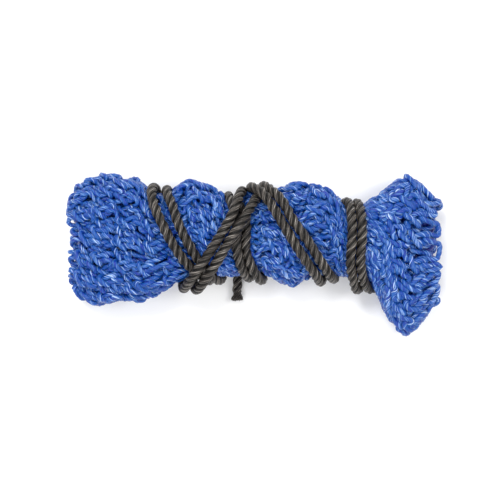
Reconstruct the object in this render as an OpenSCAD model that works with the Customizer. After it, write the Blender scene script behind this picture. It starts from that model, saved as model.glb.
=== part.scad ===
// Hay net, rolled up for storage and tied with its own doubled drawcord.
// +X runs along the roll towards the flared mouth of the net, +Z is up off the ground.
// The origin is at the middle of the footprint, on the ground that the roll lies on.

/* [Rolled net] */
// Length of the roll, from the folded base of the net to the edge of its mouth
roll_l = 285; // [257:1:313]
// Width of the roll over its flared mouth
roll_w = 124; // [112:1:136]
// Height of the roll over the crossed wraps of cord
roll_h = 67; // [60:1:74]

/* [Drawcord] */
// Diameter of the three-strand cord
cord_d = 7.5; // [6:0.1:8.2]
// Number of flats round the cord
cord_sides = 10; // [8:1:12]
// Width of the frayed tuft at the cord's sealed end
tuft_d = 10; // [8:0.5:10]
// Length of the frayed tuft
tuft_l = 6; // [4:0.5:7]

/* [Netting] */
// Number of flats round each length of rolled net
net_sides = 28; // [20:4:40]

/* [Hidden] */

// The shapes below are laid out for a roll of this size, and stretch with the sizes above.
DRAWN = [285, 124, 67];
stretch = [roll_l / DRAWN.x, roll_w / DRAWN.y, roll_h / DRAWN.z];

// Cross-sections of the roll: [x, lowest y, highest y, lowest z, highest z].
// It is pinched where the cord crosses it and lies on the ground at the base and the mouth.
BASE = [[-142.5, -8, 30, 10, 30], [-140, -22, 44, 3, 40], [-134, -33, 54, 0, 46], [-120, -40, 61, 0, 52],
        [-104, -36, 60, 0, 54], [-90, -32, 55, 0, 53], [-82, -29, 49, 4, 51]];
LEFT = [[-82, -29, 49, 4, 51], [-76, -26, 45, 9, 51], [-62, -20, 43, 9, 50], [-50, -17, 48, 7, 48],
        [-40, -15, 45, 7, 47], [-28, -15, 38, 9, 47]];
MIDDLE = [[-28, -15, 38, 9, 47], [-20, -14, 35, 9, 46], [-12, -14, 34, 9, 45], [-4, -13, 38, 9, 46],
          [4, -13, 38, 9, 47], [10, -14, 43, 9, 49]];
RIGHT = [[10, -14, 43, 9, 49], [20, -17, 48, 6, 52], [30, -20, 51, 4, 54], [40, -16, 50, 6, 52],
         [50, -15, 48, 8, 49], [60, -14, 41, 9, 46], [67, -14, 35, 9, 43]];
MOUTH = [[67, -14, 35, 9, 43], [76, -14, 32, 9, 41], [84, -17, 34, 9, 42], [92, -30, 42, 8, 43],
         [98, -44, 48, 0, 45], [107, -58, 58, 0, 45], [116, -62, 62, 0, 43], [126, -52, 54, 0, 40],
         [136, -36, 42, 2, 35], [142.5, -20, 24, 8, 26]];
ROUND = 2 / 2.3;    // power that squares off the cross-section a little
SAG = 1.2;          // how far the section would sink if the ground did not flatten it

// The doubled cord comes out of the mouth, and each wrap goes up the near side, over the roll,
// down the far side and back underneath: neck, long diagonal, middle, left, back diagonal.
FIRST_RUN = [
    [97, -6, 6], [89, -16, 5], [80, -26, 13], [75, -25, 29], [70, -7, 45], [71, 12, 47], [71, 27, 44],
    [70, 37, 34], [68, 39, 20], [66, 31, 7], [61, 12, 4.2], [55, -8, 4.4],
    [52, -17, 10], [49, -21, 26], [44, -15, 44], [36, -4, 55], [27, 10, 58], [18, 25, 58], [11, 37, 55],
    [4, 46, 49], [-3, 50, 36], [-2, 48, 19], [1, 39, 6], [0, 14, 4.2], [-2, -6, 4.4],
    [-3, -14, 9], [-5, -18, 24], [-10, -11, 45], [-14, 3, 53], [-14, 14, 54], [-14, 26, 52], [-17, 36, 47],
    [-20, 43, 34], [-21, 42, 19], [-24, 33, 6], [-28, 12, 4.2], [-32, -8, 4.4],
    [-34, -17, 10], [-35, -20, 26], [-43, -15, 40], [-53, -4, 51], [-62, 10, 55], [-68, 22, 56],
    [-74, 35, 53], [-77, 46, 43], [-76, 50, 30], [-75, 47, 17], [-73, 37, 6], [-66, 12, 4.2], [-58, -9, 4.4],
    [-56, -20, 10], [-54, -26, 26], [-47, -18, 48], [-37, -4, 57], [-28, 10, 59], [-20, 23, 60],
    [-15, 34, 59], [-12, 43, 50], [-10, 47, 35], [-9, 45, 19], [-8, 35, 6], [-10, 12, 4.2], [-13, -10, 4.2],
    [-14, -29, 5]];
SECOND_RUN = [
    [105, -12, 8], [97, -20, 8], [88, -27, 17], [81, -21, 34], [77.5, -6, 45], [78.5, 12, 46], [78.5, 26, 44],
    [77.5, 36, 34], [76, 38, 20], [74, 30, 7], [69, 12, 4.2], [63, -7, 4.4],
    [61, -15, 10], [59, -19, 25], [53, -13, 44], [46, -3, 54], [37, 11, 58], [27, 25, 58], [20, 38, 55],
    [13, 46, 48], [6, 51, 34], [7, 49, 18], [9, 40, 6], [8, 14, 4.2], [6, -6, 4.4],
    [6, -14, 9], [5, -20, 24], [0, -15, 39], [-7, 1, 49], [-7, 14, 50], [-7, 26, 47], [-11, 35, 41],
    [-14, 38, 29], [-15, 36, 17], [-17, 28, 6], [-20, 12, 4.2], [-23, -7, 4.4],
    [-25, -16, 10], [-27, -20, 25], [-33, -16, 39], [-43, -3, 50], [-51, 11, 55], [-57, 24, 55],
    [-61, 36, 51], [-66, 46, 41], [-66, 48, 26], [-66, 42, 13], [-63, 31, 5], [-57, 12, 4.2], [-49, -9, 4.4],
    [-47, -20, 10], [-45, -27, 26], [-39, -22, 45], [-29, -7, 56], [-20, 8, 60], [-12, 20, 62],
    [-6, 30, 58], [-2, 37, 51], [1, 42, 39], [2, 42, 27]];
first_end = FIRST_RUN[len(FIRST_RUN) - 1];
second_end = SECOND_RUN[len(SECOND_RUN) - 1];

function scaled(p) = [p.x * stretch.x, p.y * stretch.y, p.z * stretch.z];
function power(v, e) = sign(v) * pow(abs(v), e);

// One ring of the roll's skin, rounded on top and flattened where it meets the ground.
function section_ring(s) =
    let (mid_y = (s[1] + s[2]) / 2, half_w = (s[2] - s[1]) / 2,
         mid_z = (s[3] + s[4]) / 2, half_h = (s[4] - s[3]) / 2)
    [for (i = [0 : net_sides - 1])
        let (a = 360 * i / net_sides,
             z = mid_z + half_h * power(sin(a), ROUND) * (sin(a) < 0 ? SAG : 1))
        scaled([s[0], mid_y + half_w * power(cos(a), ROUND), max(z, s[3])])];

// Triangles that join each ring to the next, and the two flat ends.
function skin_faces(rings, n) = concat(
    [[for (i = [0 : n - 1]) i]],
    [for (r = [0 : rings - 2], i = [0 : n - 1])
        [r * n + i, (r + 1) * n + i, (r + 1) * n + (i + 1) % n]],
    [for (r = [0 : rings - 2], i = [0 : n - 1])
        [r * n + i, (r + 1) * n + (i + 1) % n, r * n + (i + 1) % n]],
    [[for (i = [n - 1 : -1 : 0]) (rings - 1) * n + i]]);

// A length of the rolled net as one closed solid, skinned over its cross-sections.
module net_length(sections) {
    points = [for (s = sections) each section_ring(s)];
    polyhedron(points, skin_faces(len(sections), net_sides), convexity = 4);
}

function unit(v) = v / norm(v);
function heading(route, i) =
    unit(route[min(i + 1, len(route) - 1)] - route[max(i - 1, 0)]);
// A direction square to the cord, carried from ring to ring so that the tube doesn't twist.
function carried(side, along) = unit(side - (side * along) * along);
function sides_along(route, i = 0, side = [0, 0, 1], done = []) =
    i == len(route) ? done
    : let (s = carried(side, heading(route, i))) sides_along(route, i + 1, s, concat(done, [s]));

// A plain round cord swept along its route.
module cord_tube(points) {
    route = [for (p = points) scaled(p)];
    sides = sides_along(route, 0, [0.1, 0.4, 0.9]);
    r = cord_d / 2;
    rings = [for (i = [0 : len(route) - 1], k = [0 : cord_sides - 1])
        let (u = sides[i], v = cross(heading(route, i), u), a = 360 * k / cord_sides)
        route[i] + r * (cos(a) * u + sin(a) * v)];
    polyhedron(rings, skin_faces(len(route), cord_sides), convexity = 20);
}

// The heat-sealed end of a cord: the strands spread a little past the melted collar.
module sealed_end(at, along) {
    turn = [0, acos(along.z), atan2(along.y, along.x)];
    translate(at) rotate(turn) cylinder(d1 = cord_d, d2 = tuft_d, h = tuft_l, $fn = 32);
}

module net_base_fold() { color("royalblue") net_length(BASE); }
module net_roll_left() { color("royalblue") net_length(LEFT); }
module net_roll_middle() { color("royalblue") net_length(MIDDLE); }
module net_roll_right() { color("royalblue") net_length(RIGHT); }
module net_mouth() { color("royalblue") net_length(MOUTH); }
module drawcord_first_run() { color("dimgray") cord_tube(FIRST_RUN); }
module drawcord_second_run() { color("dimgray") cord_tube(SECOND_RUN); }
module drawcord_first_end() { color("black") sealed_end(scaled(first_end), [0, -1, 0]); }
module drawcord_second_end() { color("black") sealed_end(scaled(second_end), [0, 0, -1]); }

net_base_fold();
net_roll_left();
net_roll_middle();
net_roll_right();
net_mouth();
drawcord_first_run();
drawcord_second_run();
drawcord_first_end();
drawcord_second_end();
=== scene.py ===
# %% [markdown]
# # A hay net, rolled up and tied with its own cord
# A hay net is a bag of knotted twine. Stored, it is folded, rolled and tied with the cord that
# closes its mouth. The frame gives the size and the place of everything; this script makes the
# looks: real knots of twine, a real three-strand cord, and plain studio light.

# %% Load the frame
import math

import bpy
import numpy as np
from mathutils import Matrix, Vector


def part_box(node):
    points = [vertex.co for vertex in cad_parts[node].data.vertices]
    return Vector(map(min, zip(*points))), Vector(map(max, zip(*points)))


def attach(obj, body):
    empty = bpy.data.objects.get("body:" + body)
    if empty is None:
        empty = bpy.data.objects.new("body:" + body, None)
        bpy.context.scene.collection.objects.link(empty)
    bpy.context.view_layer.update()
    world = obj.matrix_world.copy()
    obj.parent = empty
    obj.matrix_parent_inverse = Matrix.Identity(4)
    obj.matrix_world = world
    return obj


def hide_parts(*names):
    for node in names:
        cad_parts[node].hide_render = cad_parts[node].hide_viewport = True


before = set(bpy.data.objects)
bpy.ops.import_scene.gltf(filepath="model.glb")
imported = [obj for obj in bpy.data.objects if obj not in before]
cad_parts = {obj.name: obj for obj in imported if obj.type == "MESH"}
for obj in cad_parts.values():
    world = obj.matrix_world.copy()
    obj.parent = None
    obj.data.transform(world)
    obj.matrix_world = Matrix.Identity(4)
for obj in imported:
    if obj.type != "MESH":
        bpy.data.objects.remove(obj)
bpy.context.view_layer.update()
MM = 0.001

# %% [markdown]
# ## Camera
# The bundle lies flat and is looked at from straight above, so the camera hangs over it and looks
# down. A long lens keeps the edges of the bundle from leaning outwards.

# %% Camera
VIEW_WIDTH = 375 * MM
LENS_MM = 85
SENSOR_MM = 36
LOOK_AT = (-4.1 * MM, 3.0 * MM, 30 * MM)


def hang_camera():
    """Puts a camera over the bundle, as high as the lens needs to take in the view's width."""
    data = bpy.data.cameras.new("camera_above")
    data.lens = LENS_MM
    data.sensor_width = SENSOR_MM
    height = VIEW_WIDTH * LENS_MM / SENSOR_MM
    camera = bpy.data.objects.new("camera_above", data)
    camera.location = (LOOK_AT[0], LOOK_AT[1], LOOK_AT[2] + height)
    bpy.context.scene.collection.objects.link(camera)
    bpy.context.scene.camera = camera
    return height


print("camera height in m:", round(hang_camera(), 3))

# %% [markdown]
# ## The cord's route
# The closing cord's two tails lie side by side and wrap the roll five times. A route could be
# worked out by pulling a cord tight over the bundle, but a real one is led by hand. So each route
# is a list of points in millimetres, the same ones as the frame's tubes follow.

# %% The two routes
FIRST_RUN = [
    [97, -6, 6], [89, -16, 5], [80, -26, 13], [75, -25, 29], [70, -7, 45], [71, 12, 47], [71, 27, 44],
    [70, 37, 34], [68, 39, 20], [66, 31, 7], [61, 12, 4.2], [55, -8, 4.4],
    [52, -17, 10], [49, -21, 26], [44, -15, 44], [36, -4, 55], [27, 10, 58], [18, 25, 58], [11, 37, 55],
    [4, 46, 49], [-3, 50, 36], [-2, 48, 19], [1, 39, 6], [0, 14, 4.2], [-2, -6, 4.4],
    [-3, -14, 9], [-5, -18, 24], [-10, -11, 45], [-14, 3, 53], [-14, 14, 54], [-14, 26, 52], [-17, 36, 47],
    [-20, 43, 34], [-21, 42, 19], [-24, 33, 6], [-28, 12, 4.2], [-32, -8, 4.4],
    [-34, -17, 10], [-35, -20, 26], [-43, -15, 40], [-53, -4, 51], [-62, 10, 55], [-68, 22, 56],
    [-74, 35, 53], [-77, 46, 43], [-76, 50, 30], [-75, 47, 17], [-73, 37, 6], [-66, 12, 4.2],
    [-58, -9, 4.4],
    [-56, -20, 10], [-54, -26, 26], [-47, -18, 48], [-37, -4, 57], [-28, 10, 59], [-20, 23, 60],
    [-15, 34, 59], [-12, 43, 50], [-10, 47, 35], [-9, 45, 19], [-8, 35, 6], [-10, 12, 4.2], [-13, -10, 4.2],
    [-14, -29, 5]]
SECOND_RUN = [
    [105, -12, 8], [97, -20, 8], [88, -27, 17], [81, -21, 34], [77.5, -6, 45], [78.5, 12, 46],
    [78.5, 26, 44],
    [77.5, 36, 34], [76, 38, 20], [74, 30, 7], [69, 12, 4.2], [63, -7, 4.4],
    [61, -15, 10], [59, -19, 25], [53, -13, 44], [46, -3, 54], [37, 11, 58], [27, 25, 58], [20, 38, 55],
    [13, 46, 48], [6, 51, 34], [7, 49, 18], [9, 40, 6], [8, 14, 4.2], [6, -6, 4.4],
    [6, -14, 9], [5, -20, 24], [0, -15, 39], [-7, 1, 49], [-7, 14, 50], [-7, 26, 47], [-11, 35, 41],
    [-14, 38, 29], [-15, 36, 17], [-17, 28, 6], [-20, 12, 4.2], [-23, -7, 4.4],
    [-25, -16, 10], [-27, -20, 25], [-33, -16, 39], [-43, -3, 50], [-51, 11, 55], [-57, 24, 55],
    [-61, 36, 51], [-66, 46, 41], [-66, 48, 26], [-66, 42, 13], [-63, 31, 5], [-57, 12, 4.2], [-49, -9, 4.4],
    [-47, -20, 10], [-45, -27, 26], [-39, -22, 45], [-29, -7, 56], [-20, 8, 60], [-12, 20, 62],
    [-6, 30, 58], [-2, 37, 51], [1, 42, 39], [2, 42, 27]]
print("route points:", len(FIRST_RUN), "and", len(SECOND_RUN))

# %% [markdown]
# A cord bends smoothly, so a spline goes through the points. Catmull-Rom is used because it
# passes through every point, which keeps the line on the frame's tube. Where the cord lies on the
# ground, its middle stays half a cord's thickness above it.

# %% The smooth line through the points
CORD_D = 7.5
GROUND_GAP = 0.1
ROUTE_PARTS = 12
EASINGS = 12


def spline_through(points, parts, closed=False):
    """Catmull-Rom through the points (the last axis is x, y, z), with so many parts between two."""
    p = np.asarray(points, float)
    if not closed:
        # one more point beyond each end, so that the ends are joined up as well
        p = np.concatenate([2 * p[:1] - p[1:2], p, 2 * p[-1:] - p[-2:-1]])
    before, here, after, beyond = (np.roll(p, s, axis=0) for s in (1, 0, -1, -2))
    if not closed:
        before, here, after, beyond = (a[1:-2] for a in (before, here, after, beyond))
    out = []
    for k in range(parts):
        t = k / parts
        out.append(0.5 * (2 * here + (after - before) * t
                          + (2 * before - 5 * here + 4 * after - beyond) * t ** 2
                          + (3 * here - before - 3 * after + beyond) * t ** 3))
    line = np.stack(out, axis=1).reshape(-1, *p.shape[1:])
    return line if closed else np.concatenate([line, p[-2:-1]])


def evenly(line, step):
    """The same line with its points a fixed step apart."""
    run = np.concatenate([[0], np.cumsum(np.linalg.norm(np.diff(line, axis=0), axis=1))])
    marks = np.linspace(0, run[-1], int(round(run[-1] / step)) + 1)
    return np.stack([np.interp(marks, run, line[:, k]) for k in range(3)], axis=1)


def cord_line(route):
    """The smooth line of a cord, a point every millimetre, never lower than the ground lets it."""
    line = evenly(spline_through(route, ROUTE_PARTS), 1.0)
    for _ in range(EASINGS):
        line[1:-1] = 0.5 * line[1:-1] + 0.25 * (line[:-2] + line[2:])
    line[:, 2] = np.maximum(line[:, 2], CORD_D / 2 + GROUND_GAP)
    return line


def length_of(line):
    return float(np.linalg.norm(np.diff(line, axis=0), axis=1).sum())


cord_lines = [cord_line(FIRST_RUN), cord_line(SECOND_RUN)]
print("cord runs in mm:", [round(length_of(line)) for line in cord_lines])

# %% [markdown]
# ## Sweeping a section along a line
# Twine and cord are both long thin solids, so one sweep makes them all: a frame is carried along
# the line without twisting, and the section's outline is set on it, ring after ring. A vector
# named "fibre" is stored on each point: where it is round the strand, and how far along. The
# materials read it, so that filaments run along the twine however it bends.

# %% Carry two sides along a line
FIRST_SIDE = [0.31, 0.22, 0.93]
TINY = 1e-12


def carried_frames(line, closed):
    """Two sides for every point of a line, carried along it; on a closed line they meet up."""
    if closed:
        ahead = np.roll(line, -1, axis=0) - np.roll(line, 1, axis=0)
    else:
        ahead = np.gradient(line, axis=0)
    ahead /= np.linalg.norm(ahead, axis=1, keepdims=True) + TINY
    side = np.cross(ahead[0], FIRST_SIDE)
    sides = np.empty_like(line)
    for i in range(len(line)):
        side = side - (side @ ahead[i]) * ahead[i]
        side = side / (math.sqrt(side @ side) + TINY)
        sides[i] = side
    ups = np.cross(ahead, sides)
    if closed:
        last = sides[-1] - (sides[-1] @ ahead[0]) * ahead[0]
        miss = math.atan2(last @ ups[0], last @ sides[0])
        turn = -miss * np.arange(len(line))[:, None] / len(line)
        turned = np.cos(turn) * sides + np.sin(turn) * ups
        ups = np.cos(turn) * ups - np.sin(turn) * sides
        sides = turned
    return sides, ups


print("sides carried along the first cord:", len(carried_frames(cord_lines[0], False)[0]))

# %% [markdown]
# An outline is a number of flats and a function that says how far out the surface is at each
# angle. It turns as it goes, once in every lay, which is what twisting strands does. On a closed
# line the number of turns is rounded to a whole one, so that the strands meet up.

# %% Sweep an outline along a line
def sweep(line, outline, closed, lay, start=0.0):
    """Rings of the outline (a function of the angle) round a line, turned once in every lay."""
    sides, ups = carried_frames(line, closed)
    steps = np.linalg.norm(np.diff(line, axis=0), axis=1)
    run = np.concatenate([[0], np.cumsum(steps)])
    turns = run[-1] / lay
    if closed:
        turns = round(turns)
    spin = (2 * math.pi * turns * run / run[-1])[:, None]
    angle = np.linspace(0, 2 * math.pi, outline["flats"], endpoint=False)[None]
    reach = outline["reach"](angle - spin, run[:, None])
    points = (line[:, None] + (reach * np.cos(angle))[..., None] * sides[:, None]
              + (reach * np.sin(angle))[..., None] * ups[:, None])
    own = angle - spin
    along = np.broadcast_to(run[:, None] + start, own.shape)
    fibre = np.stack([reach * np.cos(own), reach * np.sin(own), along], axis=-1)
    return points, fibre


# %% [markdown]
# Rings of points become quads between each ring and the next. Open lines are capped, so every
# piece is a closed solid, and all of a piece's strands go into one mesh.

# %% One mesh from many sweeps
def mesh_of_sweeps(name, sweeps, closed):
    """One mesh object from swept rings, capped where the lines are open."""
    verts, fibres, quads, caps, base = [], [], [], [], 0
    for points, fibre in sweeps:
        rings, flats, _ = points.shape
        ids = base + np.arange(rings * flats).reshape(rings, flats)
        here = ids if closed else ids[:-1]
        there = np.roll(ids, -1, axis=0) if closed else ids[1:]
        faces = [here, np.roll(here, -1, axis=1), np.roll(there, -1, axis=1), there]
        quads.append(np.stack(faces, axis=-1).reshape(-1, 4))
        if not closed:
            caps += [ids[0, ::-1].tolist(), ids[-1].tolist()]
        verts.append(points.reshape(-1, 3))
        fibres.append(fibre.reshape(-1, 3))
        base += rings * flats
    mesh = bpy.data.meshes.new(name)
    mesh.from_pydata((np.concatenate(verts) * MM).tolist(), [],
                     np.concatenate(quads).tolist() + caps)
    layer = mesh.attributes.new("fibre", "FLOAT_VECTOR", "POINT")
    layer.data.foreach_set("vector", np.concatenate(fibres).astype(np.float32).ravel())
    mesh.shade_smooth()
    piece = bpy.data.objects.new(name, mesh)
    bpy.context.scene.collection.objects.link(piece)
    return piece


# %% [markdown]
# ## Three-strand cord
# Three strands are laid round each other right-handed, one turn every 20 mm, and pulled tight, so
# they press into each other and meet in sharp grooves. One outline with three full lobes, turned
# as it is swept, has exactly those grooves and no hidden surfaces inside the cord.

# %% Lay the cord
CORD_LAY = 20.0
GROOVE = 0.42
LOBE_FULLNESS = 0.65
CORD_FLATS = 36


def strands_reach(angle, run):
    """How far out the cord's outline is: three round lobes with a sharp groove between."""
    lobe = np.abs(np.cos(1.5 * angle)) ** LOBE_FULLNESS
    return CORD_D / 2 * (1 - GROOVE * (1 - lobe)) * (1 + 0.02 * np.sin(run / 3.1))


def laid_cord(name, line):
    outline = {"flats": CORD_FLATS, "reach": strands_reach}
    return mesh_of_sweeps(name, [sweep(line, outline, False, CORD_LAY)], False)


cords = [laid_cord("drawcord_first", cord_lines[0]), laid_cord("drawcord_second", cord_lines[1])]
print("cord faces:", [len(c.data.polygons) for c in cords])

# %% [markdown]
# ## Sealed ends
# Both tails are cut and melted so that they don't unlay. The melted strands shrink at the neck,
# flare at the tip, and leave short stiff hairs. The flare is one more sweep, whose radius follows
# a short list along the cord, and every hair is a thin sweep of its own.

# %% Sealed ends
END_RUN = [-1.5, 0.0, 1.2, 2.6, 4.2, 5.3, 5.9, 6.3, 6.5]
END_RADIUS = [3.5, 3.45, 2.9, 3.3, 4.3, 4.6, 4.2, 3.0, 1.2]
END_SLICES = 28
END_GROOVE = 0.18
HAIRS = 110
HAIR_ROOT = 5.2
HAIR_SPREAD = 4.2
HAIR_RADIUS = 0.2
HAIR_POINTS = 4


def hair_reach(angle, along):
    return HAIR_RADIUS + 0 * angle * along


def sealed_end(name, tip, heading, seed):
    """The melted flare and its hairs, from the cord's last point on."""
    pick = np.random.default_rng(seed)
    heading = np.array(heading, float)
    across = np.cross(heading, [0.3, 0.5, 0.8])
    across /= np.linalg.norm(across)
    other = np.cross(heading, across)
    run = np.linspace(END_RUN[0], END_RUN[-1], END_SLICES)
    body = np.array(tip) + heading * run[:, None]

    def reach(angle, along):
        lumps = 0.05 * np.sin(5 * angle + 0.8 * along) + 0.04 * np.sin(11 * angle - along)
        lobe = np.abs(np.cos(1.5 * angle)) ** 0.7
        radius = np.interp(along + END_RUN[0], END_RUN, END_RADIUS)
        return radius * (1 - END_GROOVE * (1 - lobe) + lumps)

    sweeps = [sweep(body, {"flats": CORD_FLATS, "reach": reach}, False, CORD_LAY)]
    for _ in range(HAIRS):
        a = pick.uniform(0, 2 * math.pi)
        out = pick.uniform(0.2, HAIR_SPREAD)
        side = math.cos(a) * across + math.sin(a) * other
        root = np.array(tip) + heading * HAIR_ROOT + side * out
        lean = side * pick.uniform(0.0, 0.5) + heading * pick.uniform(0.6, 1.0)
        hair = root + lean * (np.linspace(0, pick.uniform(1.0, 2.4), HAIR_POINTS)[:, None])
        hair = hair + side * 0.25 * np.linspace(0, 1, HAIR_POINTS)[:, None] ** 2
        hair[:, 2] = np.maximum(hair[:, 2], GROUND_GAP + HAIR_RADIUS)
        sweeps.append(sweep(hair, {"flats": 5, "reach": hair_reach}, False, 50.0))
    return mesh_of_sweeps(name, sweeps, False)


ends = [sealed_end("drawcord_first_sealed_end", cord_lines[0][-1], (0, -1, 0), 3),
        sealed_end("drawcord_second_sealed_end", cord_lines[1][-1], (0, 0, -1), 4)]
print("sealed end faces:", [len(e.data.polygons) for e in ends])

# %% [markdown]
# ## The bundle's outside
# The frame holds the bundle as five plain solids. Rays from a line inside them find the outside,
# slice by slice, and every slice is measured off evenly round its girth. That gives a skin with
# two directions, along the bundle and round it, on which the net can be laid out flat.

# %% The frame's solids as a search tree
from mathutils import Vector
from mathutils.bvhtree import BVHTree
from mathutils.kdtree import KDTree

NET_NODES = ["net_base_fold", "net_roll_left", "net_roll_middle", "net_roll_right", "net_mouth"]


def tree_of(names):
    """One search tree over the named frame solids, in millimetres."""
    verts, faces = [], []
    for name in names:
        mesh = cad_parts[name].data
        base = len(verts)
        verts += [v.co / MM for v in mesh.vertices]
        faces += [[base + i for i in p.vertices] for p in mesh.polygons]
    return BVHTree.FromPolygons(verts, faces)


skin_tree = tree_of(NET_NODES)
net_low = [min(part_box(n)[0][k] for n in NET_NODES) / MM for k in range(3)]
net_high = [max(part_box(n)[1][k] for n in NET_NODES) / MM for k in range(3)]
print("net solids in mm:", [round(v, 1) for v in net_low], "to", [round(v, 1) for v in net_high])

# %% [markdown]
# A slice is found by shooting rays all round from a point inside it. The points that they hit are
# then spaced out evenly, so that equal shares of the way round are equal lengths of net.

# %% Measure the skin
INSIDE_Y, INSIDE_Z = 8.0, 18.0
SLICE_STEP = 2.43
SLICE_MARGIN = 0.6
GIRTH_PARTS = 128
RAYS = 2 * GIRTH_PARTS
RAY_LENGTH = 200.0


def girth_at(tree, x):
    """The slice's outline as evenly spaced points, from the middle of the underside."""
    start = Vector((x, INSIDE_Y, INSIDE_Z))
    hits = []
    for k in range(RAYS):
        a = -2 * math.pi * k / RAYS - math.pi / 2
        hit = tree.ray_cast(start, Vector((0, math.cos(a), math.sin(a))), RAY_LENGTH)[0]
        hits.append(hit if hit is not None else hits[-1])
    ring = np.array(hits + hits[:1], float)
    run = np.concatenate([[0], np.cumsum(np.linalg.norm(np.diff(ring, axis=0), axis=1))])
    marks = np.linspace(0, run[-1], GIRTH_PARTS, endpoint=False)
    return np.stack([np.interp(marks, run, ring[:, k]) for k in range(3)], axis=1), run[-1]


slice_count = int((net_high[0] - net_low[0] - 2 * SLICE_MARGIN) / SLICE_STEP) + 1
slice_x = net_low[0] + SLICE_MARGIN + SLICE_STEP * np.arange(slice_count)
sliced = [girth_at(skin_tree, x) for x in slice_x]
skin = np.stack([s[0] for s in sliced])
girth = np.array([s[1] for s in sliced])
print("slices:", slice_count, "girth in mm from", round(girth.min()), "to", round(girth.max()))

# %% [markdown]
# A net that is tied tight swells between the cords. To lift the skin there, its way out at every
# point is needed, and how far it is from the nearest cord.

# %% The skin's way out and its distance from the cord
TINY_MM = 1e-9


def skin_normals(grid):
    along = np.gradient(grid, axis=0)
    around = np.roll(grid, -1, axis=1) - np.roll(grid, 1, axis=1)
    out = np.cross(along, around)
    return out / (np.linalg.norm(out, axis=2, keepdims=True) + TINY_MM)


cord_points = np.concatenate(cord_lines)
flat_skin = skin.reshape(-1, 3)
cord_gap = np.full(len(flat_skin), np.inf)
for some in np.array_split(cord_points[::3], 8):
    gap = np.linalg.norm(flat_skin[:, None] - some[None], axis=2).min(axis=1)
    cord_gap = np.minimum(cord_gap, gap)
cord_gap = cord_gap.reshape(skin.shape[:2])
normals = skin_normals(skin)
print("outward is up on top:", bool(normals[slice_count // 2, GIRTH_PARTS // 2, 2] > 0))

# %% [markdown]
# The swelling grows from nothing at the cord to 6 mm in the middle of a bulge. It isn't even: two
# tables of places along the net and lifts there, in millimetres, raise the far side and the top
# where the folds inside are thickest.

# %% Let the skin swell between the cords
SWELL = 6.0
SWELL_REACH = 14.0
TIED_FROM, TIED_TO = (-100, -84), (78, 92)
FAR_SIDE_LIFT = [[-70, 0], [-60, 5], [-42, 3], [-29, 8], [-23, 3], [-16, 3], [-10, 8],
                 [-5, 13], [0, 9], [8, 0], [25, -2], [45, -3], [58, 0], [74, 0], [84, 5],
                 [97, 0], [112, -3], [125, -2], [135, 0]]
TOP_LIFT = [[-62, 0], [-46, 4], [-30, 7], [-22, 6], [-12, 5], [0, 4], [12, 0]]


def smooth_step(x, low, high):
    t = np.clip((x - low) / (high - low), 0, 1)
    return t * t * (3 - 2 * t)


tied = smooth_step(slice_x, *TIED_FROM) * (1 - smooth_step(slice_x, *TIED_TO))
swell = SWELL * tied[:, None] * (1 - np.exp(-(cord_gap / SWELL_REACH) ** 2))
for table, axis, side_on, full_on in ((FAR_SIDE_LIFT, 1, 0.3, 0.9), (TOP_LIFT, 2, 0.5, 0.95)):
    lift = np.interp(slice_x, *np.array(table, float).T)[:, None]
    swell = swell + lift * smooth_step(normals[..., axis], side_on, full_on)
skin = skin + normals * swell[..., None]
print("skin lifted in mm, from", round(swell.min(), 1), "to", round(swell.max(), 1))

# %% [markdown]
# Everything on the skin is placed by three numbers: how far along, what share of the way round,
# and how far out.

# %% From skin numbers to places
def on_skin(x, share, out):
    """Places in mm for distances along (mm), shares round (0 to 1) and heights above the skin."""
    fx = np.clip((np.asarray(x) - slice_x[0]) / SLICE_STEP, 0, slice_count - 1.001)
    i = fx.astype(int)
    fx = (fx - i)[..., None]
    fs = (np.asarray(share) % 1.0) * GIRTH_PARTS
    j = fs.astype(int) % GIRTH_PARTS
    fs = (fs - np.floor(fs))[..., None]
    k = (j + 1) % GIRTH_PARTS

    def mix(grid):
        near = grid[i, j] * (1 - fs) + grid[i, k] * fs
        far = grid[i + 1, j] * (1 - fs) + grid[i + 1, k] * fs
        return near * (1 - fx) + far * fx

    place = mix(skin) + mix(normals) * np.asarray(out)[..., None]
    place[..., 0] += np.asarray(x) - np.clip(x, slice_x[0], slice_x[-1])
    return place


top_place = on_skin(np.zeros(1), np.full(1, 0.5), np.zeros(1))[0]
print("half the way round, at the middle:", [round(float(v), 1) for v in top_place])

# %% [markdown]
# ## The net's knots
# Hay nets are tied with sheet bends. One twine makes a bight; the next comes up through it, goes
# round behind its two legs and is trapped under itself. The two lists are the middles of the two
# twines, in millimetres: along the net, across it, and out of it. Spun round the bundle, each
# twine is one endless zigzag: the bight of one knot, then the bend of the next, and so on.

# %% One sheet bend
PULLED_LONG, PULLED_NARROW, PULLED_FLAT, PULLED_ASKEW = 0.98, 0.74, 0.62, 0.45
BIGHT = [[-8.0, -2.7, -0.6], [-4.6, -2.1, -1.0], [-1.2, -2.3, -0.4], [2.0, -2.8, 0.4], [4.6, -2.0, 0.9],
         [5.7, 0.0, 1.0], [4.6, 2.0, 0.9], [2.0, 2.8, 0.4], [-1.2, 2.3, -0.4], [-4.6, 2.1, -1.0],
         [-8.0, 2.7, -0.6]]
BEND = [[9.0, -3.1, 2.2], [6.4, -1.6, 4.3], [3.6, -0.4, 2.8], [2.4, 0.2, -1.2], [1.2, 0.9, -4.8],
        [-0.8, 2.8, -6.4], [-3.4, 4.7, -4.2], [-5.6, 5.3, -0.6], [-6.0, 3.7, 2.5], [-3.8, 0.4, 3.5],
        [-1.4, -3.2, 2.7], [-0.2, -5.2, -0.4], [-0.6, -4.4, -3.4], [-0.9, -1.2, -3.9], [0.2, 2.0, -3.4],
        [2.6, 4.2, -2.6], [5.8, 4.3, -1.2], [9.0, 3.3, -0.4]]


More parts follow.
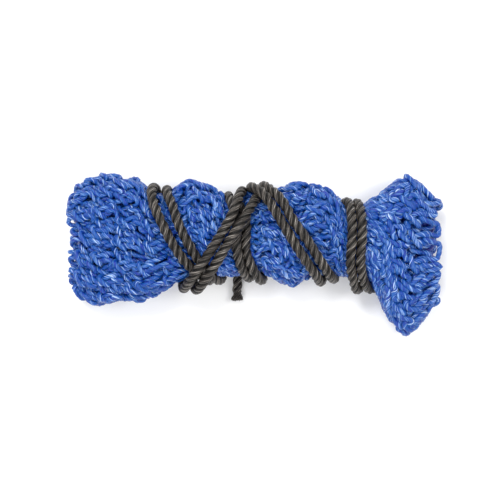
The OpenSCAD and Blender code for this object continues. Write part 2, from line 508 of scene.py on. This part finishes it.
def pulled(shape):
    """A knot's twine as it lies in the bundle: pulled long and thin, pressed flat, and askew."""
    points = np.array(shape) * [PULLED_LONG, PULLED_NARROW, PULLED_FLAT]
    points[:, 0] -= PULLED_ASKEW * points[:, 1]
    return points


bight, bend = pulled(BIGHT), pulled(BEND)
print("twine in one knot, mm:", round(length_of(bight) + length_of(bend)))

# %% [markdown]
# ## Laying out the net
# Each layer has so many rows round the bundle and a column of knots every 18 mm; alternate
# columns sit half a row over, which is what makes a diamond mesh. The roll is twisted a little,
# so its rows climb or fall along it, and no row is quite even.

# %% How the rows climb and wander
KNOT_SPREAD = 45
WAVES = 5


def twist_at(x):
    """How far the rows have climbed round the roll, as a share of its girth."""
    return 0.035 * smooth_step(x, -34, 8) + 0.12 * smooth_step(x, 8, 72) - 0.06 * smooth_step(x, -142, -55)


def wander(x, share, seed, size):
    """A smooth uneven number for every place on the skin, about -1 to 1."""
    pick = np.random.default_rng(seed)
    total = 0
    for _ in range(WAVES):
        pace = pick.uniform(0.6, 1.6) * 2 * math.pi / size
        total = total + np.sin(pace * x + 2 * math.pi * (pick.integers(1, 5) * share + pick.uniform()))
    return total / 2.2


print("rows climbed at x = -140, 0 and 80 mm:", [round(float(twist_at(x)), 3) for x in (-140, 0, 80)])

# %% [markdown]
# Hand-tied knots are never quite in line, so each one is shifted and turned a little at random.
# Where rows are crowded, every other knot sinks in, as it does where a real net is gathered.

# %% Where the knots sit
CROWD_SINK = 5.0
ROOMY, CROWDED = 11.5, 8.0
ROW_SCATTER = 0.14
COLUMN_SCATTER = 2.0
COLUMN_WANDER = 2.6
DEPTH_WANDER = 0.9
KNOT_TURN = 0.2


def tie_knots(rows, columns, depth, seed):
    """Where each knot sits and how it is turned, as arrays of shape (column, row)."""
    pick = np.random.default_rng(seed)
    c = np.arange(len(columns))[:, None]
    share = (np.arange(rows)[None] + 0.5 * (c % 2)) / rows + twist_at(columns)[:, None]
    share = share + ROW_SCATTER / rows * pick.normal(size=share.shape)
    x = columns[:, None] + COLUMN_WANDER * wander(columns[:, None], share, seed, KNOT_SPREAD)
    x = x + COLUMN_SCATTER * pick.normal(size=share.shape)
    room = np.interp(x, slice_x, girth) / rows
    crowded = 1 - smooth_step(room, CROWDED, ROOMY)
    out = -depth + DEPTH_WANDER * wander(x, share, seed + 1, KNOT_SPREAD)
    out = out - CROWD_SINK * crowded * (np.arange(rows)[None] % 2)
    turn = pick.normal(0, KNOT_TURN, share.shape)
    lean = pick.normal(0, KNOT_TURN, share.shape)
    return {"x": x, "share": share, "out": out, "turn": turn, "lean": lean}


trial = tie_knots(4, np.array([0.0, 18.0]), 0.0, 1)
print("four knots of one column lie at x, mm:", np.round(trial["x"][0], 1))

# %% [markdown]
# A knot's twine is turned and leaned with its knot and then laid on the skin. At both ends of the
# net the twine goes out, turns and comes back, which leaves a row of loops.

# %% Lay a knot on the skin and loop the ends
END_LOOP = [[1.8, 0.0], [5.2, 0.1], [6.8, 0.5], [5.2, 0.9], [1.8, 1.0]]


def shaped(knots, c, shape):
    """A twine's middle line for every knot of a column, laid on the skin: (row, point, 3)."""
    turn, lean = knots["turn"][c][:, None], knots["lean"][c][:, None]
    u = np.cos(turn) * shape[:, 0] - np.sin(turn) * shape[:, 1]
    v = np.sin(turn) * shape[:, 0] + np.cos(turn) * shape[:, 1]
    w = shape[:, 2] + np.sin(lean) * v
    round_mm = np.interp(knots["x"][c], slice_x, girth)[:, None]
    return on_skin(knots["x"][c][:, None] + u, knots["share"][c][:, None] + v / round_mm,
                   knots["out"][c][:, None] + w)


def end_loops(ends, starts, reach, seed):
    """Loops that take the twine from one knot's leg to the next knot's, out along x and back."""
    pick = np.random.default_rng(seed)
    loop = np.array(END_LOOP)
    way = loop[None, :, 1, None]
    line = ends[:, None] * (1 - way) + starts[:, None] * way
    line[..., 0] += reach * loop[None, :, 0] * pick.uniform(0.75, 1.25, (len(ends), 1))
    return line


print("twine for one knot's bight, places on the skin:", shaped(trial, 0, bight).shape)

# %% [markdown]
# Between two columns of knots there is exactly one twine, which runs all the way round: it makes
# the bights of one column and the bends of the other in turn. So a layer is a stack of closed
# rings, each hooked into the next by its knots.

# %% Lay out a layer
COLUMN_STEP = 18.0


def lay_layer(rows, first, last, depth, seed, size=1.0):
    """The layer's rings of twine, each a list of control points; looser knots have more size."""
    columns = np.linspace(first, last, int(round((last - first) / (COLUMN_STEP * size))) + 1)
    knots = tie_knots(rows, columns, depth, seed)
    rings = []
    for gap in range(len(columns) + 1):
        bights = shaped(knots, gap, bight * size) if gap < len(columns) else None
        bends = shaped(knots, gap - 1, bend * size) if gap > 0 else None
        if bends is None:
            parts = [bights, end_loops(bights[:, -1], np.roll(bights[:, 0], -1, axis=0), -size, seed)]
        elif bights is None:
            parts = [bends, end_loops(bends[:, -1], np.roll(bends[:, 0], -1, axis=0), size, seed)]
        else:
            parts = [bends, bights] if gap % 2 else [bights, bends]
        rings.append(np.concatenate(parts, axis=1).reshape(-1, 3))
    return rings


def even_ring(control, step):
    """A closed line through the control points, with its points a fixed step apart."""
    fine = spline_through(control, 8, closed=True)
    fine = np.concatenate([fine, fine[:1]])
    return evenly(fine, step)[:-1]


trial = lay_layer(12, -20.0, 20.0, 0.0, 1)
print("a trial layer has", len(trial), "rings, of mm:", [round(length_of(r)) for r in trial])

# %% [markdown]
# The rolled net is folded many times, but only its outer two layers show. The outer one has 28
# rows of knots, and an inner one with fewer fills the gaps between them. The mouth is its own
# pair of layers with looser, larger knots, because there the cord doesn't squeeze the net: 17
# rows outside, and 15 in the fold beneath them.

# %% The net's four layers
PARTICLE_STEP = 1.8
OUTER_DEPTH = 2.6
FOLD_DEPTH = 9.0
INNER_DEPTH = 12.5
LOOSE_SIZE = 1.3
layers = {
    "outer": lay_layer(28, -129.0, 80.0, OUTER_DEPTH, 11),
    "inner": lay_layer(18, -126.0, 124.0, INNER_DEPTH, 23),
    "mouth": lay_layer(17, 84.0, 121.5, OUTER_DEPTH, 37, LOOSE_SIZE),
    "fold": lay_layer(15, 88.0, 118.0, FOLD_DEPTH, 41, LOOSE_SIZE),
}
rings = [even_ring(line, PARTICLE_STEP) for layer in layers.values() for line in layer]
ring_layer = [name for name, layer in layers.items() for _ in layer]
print("rings of twine:", len(rings), "points:", sum(len(r) for r in rings),
      "metres of twine:", round(sum(len(r) for r in rings) * PARTICLE_STEP / 1000, 1))

# %% [markdown]
# ## Letting the net settle
# Real twine can't pass through itself, so the laid-out net is settled by position-based dynamics.
# Points too close together push each other apart, every length of twine pulls back to its own
# length, the tight cord presses in what lies under it, and a light pull keeps the whole in place.
# First come the neighbours: points are sorted into cubes, so only nearby cubes are compared.

# %% Find points that are close together
CUBE_STRIDE = [1.0, 1000.0, 1000000.0]


def close_pairs(a, b, reach):
    """Index pairs (into a, into b) of points closer than reach, found by sorting b into cubes."""
    low = np.minimum(a.min(axis=0), b.min(axis=0)) - reach
    cells_a, cells_b = ((p - low) // reach for p in (a, b))
    stride = np.array(CUBE_STRIDE)
    keys = cells_b @ stride
    order = np.argsort(keys, kind="stable")
    keys = keys[order]
    found = []
    for dx in (-1, 0, 1):
        for dy in (-1, 0, 1):
            for dz in (-1, 0, 1):
                want = (cells_a + [dx, dy, dz]) @ stride
                start = np.searchsorted(keys, want, "left")
                count = np.searchsorted(keys, want, "right") - start
                i = np.repeat(np.arange(len(a)), count)
                shift = np.arange(len(i)) - np.repeat(np.cumsum(count) - count, count)
                found.append((i, order[np.repeat(start, count) + shift]))
    i = np.concatenate([f[0] for f in found])
    j = np.concatenate([f[1] for f in found])
    near = ((a[i] - b[j]) ** 2).sum(axis=1) < reach * reach
    return i[near], j[near]


touches = close_pairs(cord_lines[0], cord_lines[1], CORD_D)[0]
print("millimetres of cord that touch the other tail:", len(set(touches.tolist())))

# %% [markdown]
# All the twine's points are handled at once, in one long list. Each point needs to know the next
# and the last one on its own ring, and how thick its twine is: the mouth's twine hangs loose, and
# loose twine is thicker than twine pulled tight.

# %% Who follows whom
TWINE_D = 3.4
LOOSE = {"mouth": 1.22, "fold": 1.22}

sizes = np.array([len(r) for r in rings])
starts = np.concatenate([[0], np.cumsum(sizes)[:-1]])
ring_of = np.repeat(np.arange(len(rings)), sizes)
place_in = np.arange(sizes.sum()) - starts[ring_of]
ahead_of = starts[ring_of] + (place_in + 1) % sizes[ring_of]
behind_of = starts[ring_of] + (place_in - 1) % sizes[ring_of]
wide_at = np.array([TWINE_D * LOOSE.get(name, 1.0) for name in ring_layer])[ring_of]
print("twine thicknesses in mm:", sorted({round(float(w), 2) for w in wide_at}))

# %% [markdown]
# A twine in the bundle can be pushed in or out, so every point needs to know which way is out,
# and how high over the skin it lies.

# %% Which way is out for the twine
def outward_at(points):
    """The way out of the bundle at each point, and its height over the skin nearest to it."""
    tree = KDTree(skin[:, :, 0].size)
    for k, place in enumerate(skin.reshape(-1, 3)):
        tree.insert(place, k)
    tree.balance()
    nearest = [tree.find(p)[1] for p in points]
    out = normals.reshape(-1, 3)[nearest]
    return out, ((points - skin.reshape(-1, 3)[nearest]) * out).sum(axis=1)


twine = np.concatenate(rings)
outward, height = outward_at(twine)
print("twine middles over the skin, mm:", round(height.min(), 1), "to", round(height.max(), 1))

# %% [markdown]
# The cord was pulled tight over the net, so what lies in the cord's way is pushed in, along the
# skin's own way out, until it lies just under the cord.

# %% Press the twine under the cord
CORD_BITES = 0.3
UNDER_CORD = CORD_D / 2 + TWINE_D / 2 - CORD_BITES
LOOK_ABOVE = 8.0
cord_marks = cord_points[::2]


def press_under_cord(p, out):
    """Moves points that lie in a cord, or outside it, to just under it."""
    i, j = close_pairs(p, cord_marks, UNDER_CORD + LOOK_ABOVE)
    gap = p[i] - cord_marks[j]
    rise = (gap * out[i]).sum(axis=1)
    beside = np.sqrt(np.maximum((gap ** 2).sum(axis=1) - rise ** 2, 0))
    clear = np.sqrt(np.maximum(UNDER_CORD ** 2 - beside ** 2, 0))
    dip = np.where(beside < UNDER_CORD, rise + clear, 0.0)
    deepest = np.zeros(len(p))
    np.maximum.at(deepest, i, np.maximum(dip, 0))
    return p - out * deepest[:, None]


pressed_in = np.linalg.norm(press_under_cord(twine, outward) - twine, axis=1)
print("the cord presses the twine in by up to", round(pressed_in.max(), 1), "mm")

# %% [markdown]
# Touching twines are allowed to press into each other by a tenth, because film twine is soft.
# Points that follow each other closely on one ring are always near, so they don't count.

# %% Which points touch
PRESSED = 0.91
OWN_NEIGHBOURS = 3
PAIR_MARGIN = 1.0


def lengths_between(p):
    return np.linalg.norm(p[ahead_of] - p, axis=1)


def spread_out(index, push, count):
    """Adds up pushes that land on the same points."""
    return np.stack([np.bincount(index, push[:, k], count) for k in range(3)], axis=1)


def touching(points):
    """Pairs of points that may touch, not counting near neighbours on a ring, and how near."""
    i, j = close_pairs(points, points, wide_at.max() + PAIR_MARGIN)
    apart = np.abs(place_in[i] - place_in[j])
    apart = np.minimum(apart, sizes[ring_of[i]] - apart)
    keep = (i < j) & ((ring_of[i] != ring_of[j]) | (apart > OWN_NEIGHBOURS))
    i, j = i[keep], j[keep]
    return i, j, PRESSED * 0.5 * (wide_at[i] + wide_at[j])


print("pairs of points near each other before settling:", len(touching(twine)[0]))

# %% [markdown]
# Now the dynamics itself, in rounds that each move the points a little. No strand may move far, or
# stand higher than its neighbours, which keeps the outline as smooth as a firmly rolled net's.

# %% Settle
SETTLE_ROUNDS = 100
FURTHEST = 4.0
FURTHEST_OUT = 0.8
TOPMOST = -0.9
PUSH = 0.3
PULL = 0.35
STIFFNESS = 0.12
KEPT_BEND = 0.8
HOMEWARD = 0.02
TAKEN_UP = 0.99
LAID_FLAT = 0.6
PAIRS_EVERY = 6
CORD_EVERY = 3


def settle(points, out, height, rounds):
    """Position-based dynamics on all the twine at once."""
    laid = points.copy()
    may_rise = np.minimum(FURTHEST_OUT, TOPMOST - height)[:, None]
    rest = lengths_between(points) * TAKEN_UP
    stiff = points[ahead_of] + points[behind_of] - 2 * points
    count = len(points)
    for step in range(rounds):
        if step % PAIRS_EVERY == 0:
            i, j, touch = touching(points)
        gap = points[i] - points[j]
        far = np.linalg.norm(gap, axis=1) + TINY_MM
        push = gap * (np.maximum(touch - far, 0) / far * PUSH)[:, None]
        points = points + spread_out(i, push, count) - spread_out(j, push, count)
        for _ in range(2):
            gap = points[ahead_of] - points
            far = np.linalg.norm(gap, axis=1)
            pull = gap * ((far - rest) / far * PULL)[:, None]
            points = points + pull - pull[behind_of]
        bow = points[ahead_of] + points[behind_of] - 2 * points
        points = points + STIFFNESS * (bow - stiff * KEPT_BEND)
        points = points + HOMEWARD * (laid - points)
        if step % CORD_EVERY == 0:
            points = press_under_cord(points, out)
        moved = points - laid
        rise = (moved * out).sum(axis=1, keepdims=True)
        moved = moved - out * np.maximum(rise - may_rise, 0)
        far = np.linalg.norm(moved, axis=1, keepdims=True) + TINY_MM
        points = laid + moved * np.minimum(1, FURTHEST / far)
        points[:, 2] = np.maximum(points[:, 2], LAID_FLAT * wide_at + GROUND_GAP)
    return points


twine = settle(twine, outward, height, SETTLE_ROUNDS)
moved = np.linalg.norm(twine - np.concatenate(rings), axis=1)
print("twine moved by, mm, middle and most:", np.round(np.percentile(moved, [50, 99]), 2))
rings = [twine[s:s + n] for s, n in zip(starts, sizes)]

# %% [markdown]
# ## Twine
# The twine is three plies of polypropylene film twisted together, so it is not quite round: it
# has three soft lobes that wind along it, and it is a little thicker here and thinner there.

# %% The twine's outline
TWINE_LAY = 13.0
PLY_LOBES = 0.08


def plies_reach(thickness):
    """The twine's outline: three soft lobes, thicker and thinner along its run."""
    def reach(angle, run):
        uneven = 0.05 * np.sin(run / 4.3) + 0.03 * np.sin(run / 1.9 + 1.0)
        return thickness / 2 * (1 + PLY_LOBES * np.cos(3 * angle)) * (1 + uneven)
    return reach


print("twine turns once in mm:", TWINE_LAY)

# %% [markdown]
# Every ring is swept with that outline, finely where it shows and coarsely where it is hidden.
# Rings are gathered into one piece for each solid of the frame and each layer, so a piece stands
# for the solid that it lies over.

# %% Sweep the twine
SHOWN = {"step": 1.15, "flats": 9}
HIDDEN = {"step": 1.9, "flats": 6}
FIBRE_APART = 400.0
SECTION_ENDS = [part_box(n)[1][0] / MM for n in NET_NODES]
PIECE_ENDINGS = {"outer": "_twine", "inner": "_inner_twine",
                 "mouth": "_loose_twine", "fold": "_fold_twine"}
pieces = {}
for number, line in enumerate(rings):
    layer = ring_layer[number]
    section = min(int(np.searchsorted(SECTION_ENDS, line[:, 0].mean())), len(NET_NODES) - 1)
    pieces.setdefault((NET_NODES[section], layer), []).append(line)

net_pieces = []
for (node, layer), lines in pieces.items():
    detail = SHOWN if layer in ("outer", "mouth") else HIDDEN
    thickness = TWINE_D * LOOSE.get(layer, 1.0)
    outline = {"flats": detail["flats"], "reach": plies_reach(thickness)}
    sweeps = [sweep(even_ring(line, detail["step"]), outline, True, TWINE_LAY, FIBRE_APART * k)
              for k, line in enumerate(lines)]
    piece = mesh_of_sweeps(node + PIECE_ENDINGS[layer], sweeps, True)
    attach(piece, "root")
    if layer == "outer" or node == "net_mouth":
        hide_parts(node)
    net_pieces.append((piece, layer))
    print(piece.name, "faces", len(piece.data.polygons))

# %% [markdown]
# ## Materials
# Colours are written as sRGB hex, as a colour picker shows them, and one function turns them into
# the linear values that Blender works in. One more adds a node with its settings and its links.

# %% Helpers for materials
def linear(hex_colour):
    """sRGB hex to the linear values that Blender's sockets take."""
    parts = [int(hex_colour[k:k + 2], 16) / 255 for k in (1, 3, 5)]
    return [c / 12.92 if c <= 0.04045 else ((c + 0.055) / 1.055) ** 2.4 for c in parts] + [1.0]


print("middle grey #808080 is linear", round(linear("#808080")[0], 3))


def add_node(tree, kind, settings=None, inputs=None, stops=()):
    """Adds a node. An input is a value, or another node's output to link from; a colour ramp also
    takes its stops, each a position and a hex colour."""
    node = tree.nodes.new(kind)
    for key, value in (settings or {}).items():
        setattr(node, key, value)
    for key, value in (inputs or {}).items():
        if isinstance(value, bpy.types.NodeSocket):
            tree.links.new(value, node.inputs[key])
        else:
            node.inputs[key].default_value = value
    for number, (position, colour) in enumerate(stops):
        if number >= len(node.color_ramp.elements):
            node.color_ramp.elements.new(position)
        node.color_ramp.elements[number].position = position
        node.color_ramp.elements[number].color = linear(colour)
    return node


def filament_noise(tree, across, along, detail):
    """Noise drawn out along the strand: its grain is so many mm across and so many along."""
    fibre = add_node(tree, "ShaderNodeAttribute", {"attribute_name": "fibre"})
    grain = add_node(tree, "ShaderNodeVectorMath", {"operation": "MULTIPLY"},
                     {0: fibre.outputs["Vector"], 1: (1 / across, 1 / across, 1 / along)})
    noise = add_node(tree, "ShaderNodeTexNoise", inputs={
        "Vector": grain.outputs["Vector"], "Scale": 1.0, "Detail": detail, "Roughness": 0.6})
    return noise.outputs["Fac"]


# %% [markdown]
# ### Split-film polypropylene twine
# The twine is polypropylene film, dyed blue, split into flat filaments and twisted. The film is
# glossy and lets some light through, so it shines along the strand and glows where it is thin.
# Its long bright streaks are partly that shine and partly painted highlights: the two brightest
# shades of its colour. The streaks could be painted on a picture, but noise drawn out along the
# strand never repeats and follows every bend. Split film is about 0.2 mm wide; it is drawn in
# bundles 1.1 mm wide and 22 mm long, because anything finer wouldn't show.

# %% Twine material
FILM_WIDE, FILM_LONG = 1.1, 22.0
RELIEF_WIDE, RELIEF_LONG = 0.7, 16.0
FILM_STOPS = [0.30, 0.42, 0.50, 0.57, 0.63, 0.71]
POLYPROPYLENE_IOR = 1.49


def split_film(name, shades, glow):
    """Film twine in six shades, dark to bright, the two brightest of them painted highlights. glow is the
    share of light that goes inside.
    """
    material = bpy.data.materials.new(name)
    material.use_nodes = True
    tree = material.node_tree
    shader = tree.nodes["Principled BSDF"]
    streaks = filament_noise(tree, FILM_WIDE, FILM_LONG, 2.0)
    # The ramp's two brightest stops are painted highlights on the film.
    colour = add_node(tree, "ShaderNodeValToRGB", inputs={"Fac": streaks}, stops=zip(FILM_STOPS, shades))
    tree.links.new(colour.outputs["Color"], shader.inputs["Base Color"])
    fine = filament_noise(tree, RELIEF_WIDE, RELIEF_LONG, 2.0)
    bump = add_node(tree, "ShaderNodeBump", inputs={"Height": fine, "Distance": 0.7 * MM, "Strength": 1.0})
    tree.links.new(bump.outputs["Normal"], shader.inputs["Normal"])
    shader.inputs["Roughness"].default_value = 0.2
    shader.inputs["Specular IOR Level"].default_value = 0.4
    shader.inputs["IOR"].default_value = POLYPROPYLENE_IOR
    shader.inputs["Subsurface Weight"].default_value = glow
    shader.inputs["Subsurface Radius"].default_value = (0.3, 0.5, 1.0)
    shader.inputs["Subsurface Scale"].default_value = 1.6 * MM
    return material


# Six blues each, dark to bright; the last two are painted highlights.
OUTER_BLUES_AND_PAINTED_GLINTS = ["#1A3094", "#0E3E98", "#0D4FA0", "#3364AC", "#6C92CE", "#B9CCEE"]
# The inner twine is the same film. Its blues are darker and more violet, as painted shade for lying deeper;
# its last two stops are painted highlights too.
INNER_BLUES_PAINTED_SHADE_AND_GLINTS = ["#20207C", "#1E2A8C", "#1C389A", "#2A4CA4", "#5072BA", "#90A6D8"]
twine_outer = split_film("split_film_polypropylene", OUTER_BLUES_AND_PAINTED_GLINTS, 0.35)
twine_inner_painted_shade = split_film("split_film_polypropylene_painted_shade_inside", INNER_BLUES_PAINTED_SHADE_AND_GLINTS, 0.35)
for piece, layer in net_pieces:
    piece.data.materials.append(twine_inner_painted_shade if layer == "inner" else twine_outer)
print("twine materials:", twine_outer.name, "and", twine_inner_painted_shade.name)

# %% [markdown]
# ### Three-strand polypropylene cord
# The cord is dark brown-black multifilament, laid in three strands of four yarns each. Filaments
# run along the strands and catch the light as a soft satin, partly a painted sheen in the brightest
# of the three shades. Yarns show as fine slanting lines, painted darker in their hollows and lighter
# on their tops as painted shade and painted highlight, and the deep grooves between the strands are
# painted black as painted shade. The swept outline gives the strands; the yarns are a sine wave
# round the cord, and the painted groove shade is found from the distance to the cord's middle.
# Filaments are drawn 0.55 mm wide, some ten times too coarse, because finer ones wouldn't show.

# %% Cord material
YARNS = 12.0
CORD_FILAMENT = (0.55, 8.0)
CORD_RELIEF = (0.4, 10.0)
STRAND_STOPS = [0.35, 0.52, 0.66]


def multifilament(name, shades, rough, low, high):
    """Dark multifilament in three shades, with painted shade that is black at a radius of low mm and full
    shade at high.
    """
    material = bpy.data.materials.new(name)
    material.use_nodes = True
    tree = material.node_tree
    shader = tree.nodes["Principled BSDF"]
    streaks = filament_noise(tree, *CORD_FILAMENT, 3.0)
    colour = add_node(tree, "ShaderNodeValToRGB", inputs={"Fac": streaks}, stops=zip(STRAND_STOPS, shades))
    fibre = add_node(tree, "ShaderNodeAttribute", {"attribute_name": "fibre"})
    parts = add_node(tree, "ShaderNodeSeparateXYZ", inputs={"Vector": fibre.outputs["Vector"]})
    x, y, along = (parts.outputs[k] for k in "XYZ")
    flat = add_node(tree, "ShaderNodeCombineXYZ", inputs={"X": x, "Y": y})
    reach = add_node(tree, "ShaderNodeVectorMath", {"operation": "LENGTH"}, {0: flat.outputs["Vector"]})
    # Painted shade: the colour goes black towards the grooves, where the surface is near the cord's middle.
    height = add_node(tree, "ShaderNodeMapRange", inputs={
        "Value": reach.outputs["Value"], "From Min": low, "From Max": high, "To Min": 0.03, "To Max": 1.0})
    round_it = add_node(tree, "ShaderNodeMath", {"operation": "ARCTAN2"}, {0: y, 1: x})
    yarn = add_node(tree, "ShaderNodeMath", {"operation": "MULTIPLY_ADD"},
                    {0: round_it.outputs["Value"], 1: YARNS, 2: along})
    wave = add_node(tree, "ShaderNodeMath", {"operation": "SINE"}, {0: yarn.outputs["Value"]})
    # Painted shade and highlight: the colour is scaled from 0.4 to 1.35 across each yarn.
    yarn_painted_light_and_shade = add_node(tree, "ShaderNodeMapRange", inputs={
        "Value": wave.outputs["Value"], "From Min": -1.0, "From Max": 1.0, "To Min": 0.4, "To Max": 1.35})
    shade = add_node(tree, "ShaderNodeMath", {"operation": "MULTIPLY"},
                     {0: height.outputs["Result"], 1: yarn_painted_light_and_shade.outputs["Result"]})
    shaded = add_node(tree, "ShaderNodeVectorMath", {"operation": "SCALE"},
                      {0: colour.outputs["Color"], "Scale": shade.outputs["Value"]})
    tree.links.new(shaded.outputs["Vector"], shader.inputs["Base Color"])
    fine = filament_noise(tree, *CORD_RELIEF, 2.0)
    relief = add_node(tree, "ShaderNodeMath", {"operation": "MULTIPLY_ADD"},
                      {0: wave.outputs["Value"], 1: 0.25, 2: fine})
    bump = add_node(tree, "ShaderNodeBump", inputs={
        "Height": relief.outputs["Value"], "Distance": 0.4 * MM, "Strength": 0.9})
    tree.links.new(bump.outputs["Normal"], shader.inputs["Normal"])
    shader.inputs["Roughness"].default_value = rough
    shader.inputs["Specular IOR Level"].default_value = 0.25
    shader.inputs["IOR"].default_value = POLYPROPYLENE_IOR
    return material


# The brightest laid shade is a painted sheen.
LAID_SHADES_AND_PAINTED_SHEEN = ["#151210", "#403A36", "#A09A93"]
MELTED_SHADES = ["#0E0C0B", "#2A2623", "#6A625B"]
# The laid cord gets painted groove shade; the melted end's limits leave its colour full everywhere.
cord_dark = multifilament("multifilament_polypropylene", LAID_SHADES_AND_PAINTED_SHEEN, 0.4, 2.85, 3.72)
cord_melted = multifilament("melted_polypropylene", MELTED_SHADES, 0.35, -1.0, 0.0)
print("cord materials:", cord_dark.name, "and", cord_melted.name)

# %% [markdown]
# Last, each cord and its sealed end get their materials and go under the root, and the frame's
# solids that they stand for are hidden.

# %% Give the cords their materials and hide the frame's tubes
CORD_NODES = [("drawcord_first_run", "drawcord_first_end"), ("drawcord_second_run", "drawcord_second_end")]
for piece, end, line, (node, end_node) in zip(cords, ends, cord_lines, CORD_NODES):
    end.data.materials.append(cord_melted)
    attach(end, "root")
    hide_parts(end_node)
    piece.data.materials.append(cord_dark)
    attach(piece, "root")
    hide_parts(node)

# %% [markdown]
# ## Stage and light
# A plain white floor and soft studio light: three soft boxes overhead, the far one the strongest,
# which shine on the twine beside its painted highlights, and an even white sky that keeps the shadows faint.

# %% Floor
FLOOR_HALF = 3.0
floor_mesh = bpy.data.meshes.new("floor")
floor_corners = [(-FLOOR_HALF, -FLOOR_HALF, 0), (FLOOR_HALF, -FLOOR_HALF, 0),
                 (FLOOR_HALF, FLOOR_HALF, 0), (-FLOOR_HALF, FLOOR_HALF, 0)]
floor_mesh.from_pydata(floor_corners, [], [(0, 1, 2, 3)])
floor = bpy.data.objects.new("floor", floor_mesh)
bpy.context.scene.collection.objects.link(floor)
paper = bpy.data.materials.new("matt_white_paper")
paper.use_nodes = True
paper_shader = paper.node_tree.nodes["Principled BSDF"]
paper_shader.inputs["Base Color"].default_value = linear("#FBFBFB")
paper_shader.inputs["Roughness"].default_value = 0.9
floor.data.materials.append(paper)
print("floor of", paper.name, "is", 2 * FLOOR_HALF, "m wide")

# %% [markdown]
# A lamp of 0.4 m at a metre's distance is large beside the bundle, so its shadows are soft, and
# it still draws a bright line along every glossy strand. All three are aimed at the bundle.

# %% Sky and soft boxes
SKY_STRENGTH = 0.85
AIM_AT = (0, 0, 0.02)
BOX_SIZE = 0.4
sky = bpy.data.worlds.new("studio")
sky.use_nodes = True
sky.node_tree.nodes["Background"].inputs["Color"].default_value = (1, 1, 1, 1)
sky.node_tree.nodes["Background"].inputs["Strength"].default_value = SKY_STRENGTH
bpy.context.scene.world = sky
bpy.context.scene.view_settings.view_transform = "Standard"


def soft_box(name, place, power):
    """A square area light that faces the bundle."""
    data = bpy.data.lights.new(name, "AREA")
    data.size = BOX_SIZE
    data.energy = power
    lamp = bpy.data.objects.new(name, data)
    lamp.location = place
    aim = Vector(AIM_AT) - Vector(place)
    lamp.rotation_euler = aim.to_track_quat("-Z", "Y").to_euler()
    bpy.context.scene.collection.objects.link(lamp)
    print(name, "gives", power, "W from", round(aim.length, 2), "m")


soft_box("bank_far", (-0.3, 0.6, 1.1), 8)
soft_box("bank_right", (0.7, 0.1, 1.1), 4)
soft_box("bank_near", (-0.3, -0.6, 1.1), 4)
